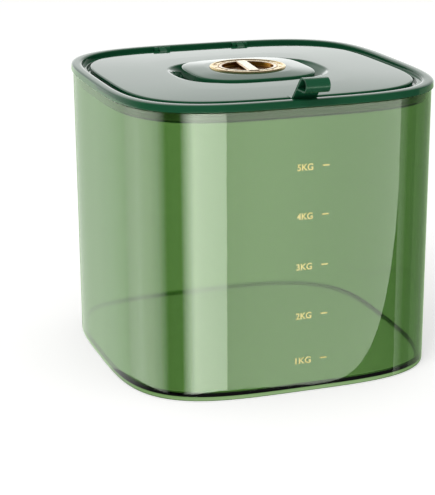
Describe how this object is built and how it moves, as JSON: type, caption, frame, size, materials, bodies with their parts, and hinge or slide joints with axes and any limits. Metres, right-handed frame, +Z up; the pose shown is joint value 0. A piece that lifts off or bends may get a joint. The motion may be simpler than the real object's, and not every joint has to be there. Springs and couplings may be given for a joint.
{
  "type": "rice bin with flip lid",
  "caption": "Square soft-cornered transparent green rice bin; dark green lid frame with a rear-hinged flip panel, curled front pull tab and a lift-out moisture pad with a gold dial.",
  "frame": {"origin": "centre of the bin's underside, on the surface it stands on", "axes": "+Z up, the pull tab faces -Y, the hinge is at +Y, +X to the right seen from the front"},
  "size_m": [0.215, 0.2302, 0.2033],
  "materials": {
    "green_clear": "clear tinted AS plastic, polished",
    "dark_green": "glossy opaque ABS",
    "silicone": "frosted translucent silicone",
    "pin_steel": "drawn stainless wire",
    "gold_bezel": "pale gold plating, satin",
    "gold_knob": "gold plating, polished",
    "clip_steel": "spring steel",
    "basket_white": "natural polypropylene",
    "sachet_paper": "non-woven pouch"
  },
  "bodies": {
    "bin": {"bin_body": "green_clear"},
    "lid": {"lid_frame": "dark_green", "frame_seal": "silicone", "hinge_pin_left": "pin_steel", "hinge_pin_right": "pin_steel"},
    "panel": {"flip_panel": "dark_green", "panel_seal": "silicone", "pull_tab": "dark_green"},
    "pad": {"pad_cover": "dark_green", "pad_seal": "silicone", "dial_bezel": "gold_bezel", "absorber_basket": "basket_white", "desiccant_sachet": "sachet_paper"},
    "dial": {"dial_knob": "gold_knob", "dial_clip": "clip_steel"}
  },
  "joints": [
    {"name": "lid_lift", "type": "slide", "parent": "bin", "child": "lid", "axis": [0, 0, 1], "range_m": [0, 0.04]},
    {"name": "panel_hinge", "type": "hinge", "parent": "lid", "child": "panel", "pos_m": [0, 0.0979, 0.1863], "axis": [-1, 0, 0], "range_deg": [0, 105]},
    {"name": "pad_lift", "type": "slide", "parent": "panel", "child": "pad", "axis": [0, 0.0105, 0.9999], "range_m": [0, 0.025]},
    {"name": "dial_turn", "type": "hinge", "parent": "pad", "child": "dial", "pos_m": [0, 0.00001, 0.18732], "axis": [0, 0.0105, 0.9999], "continuous": true}
  ]
}
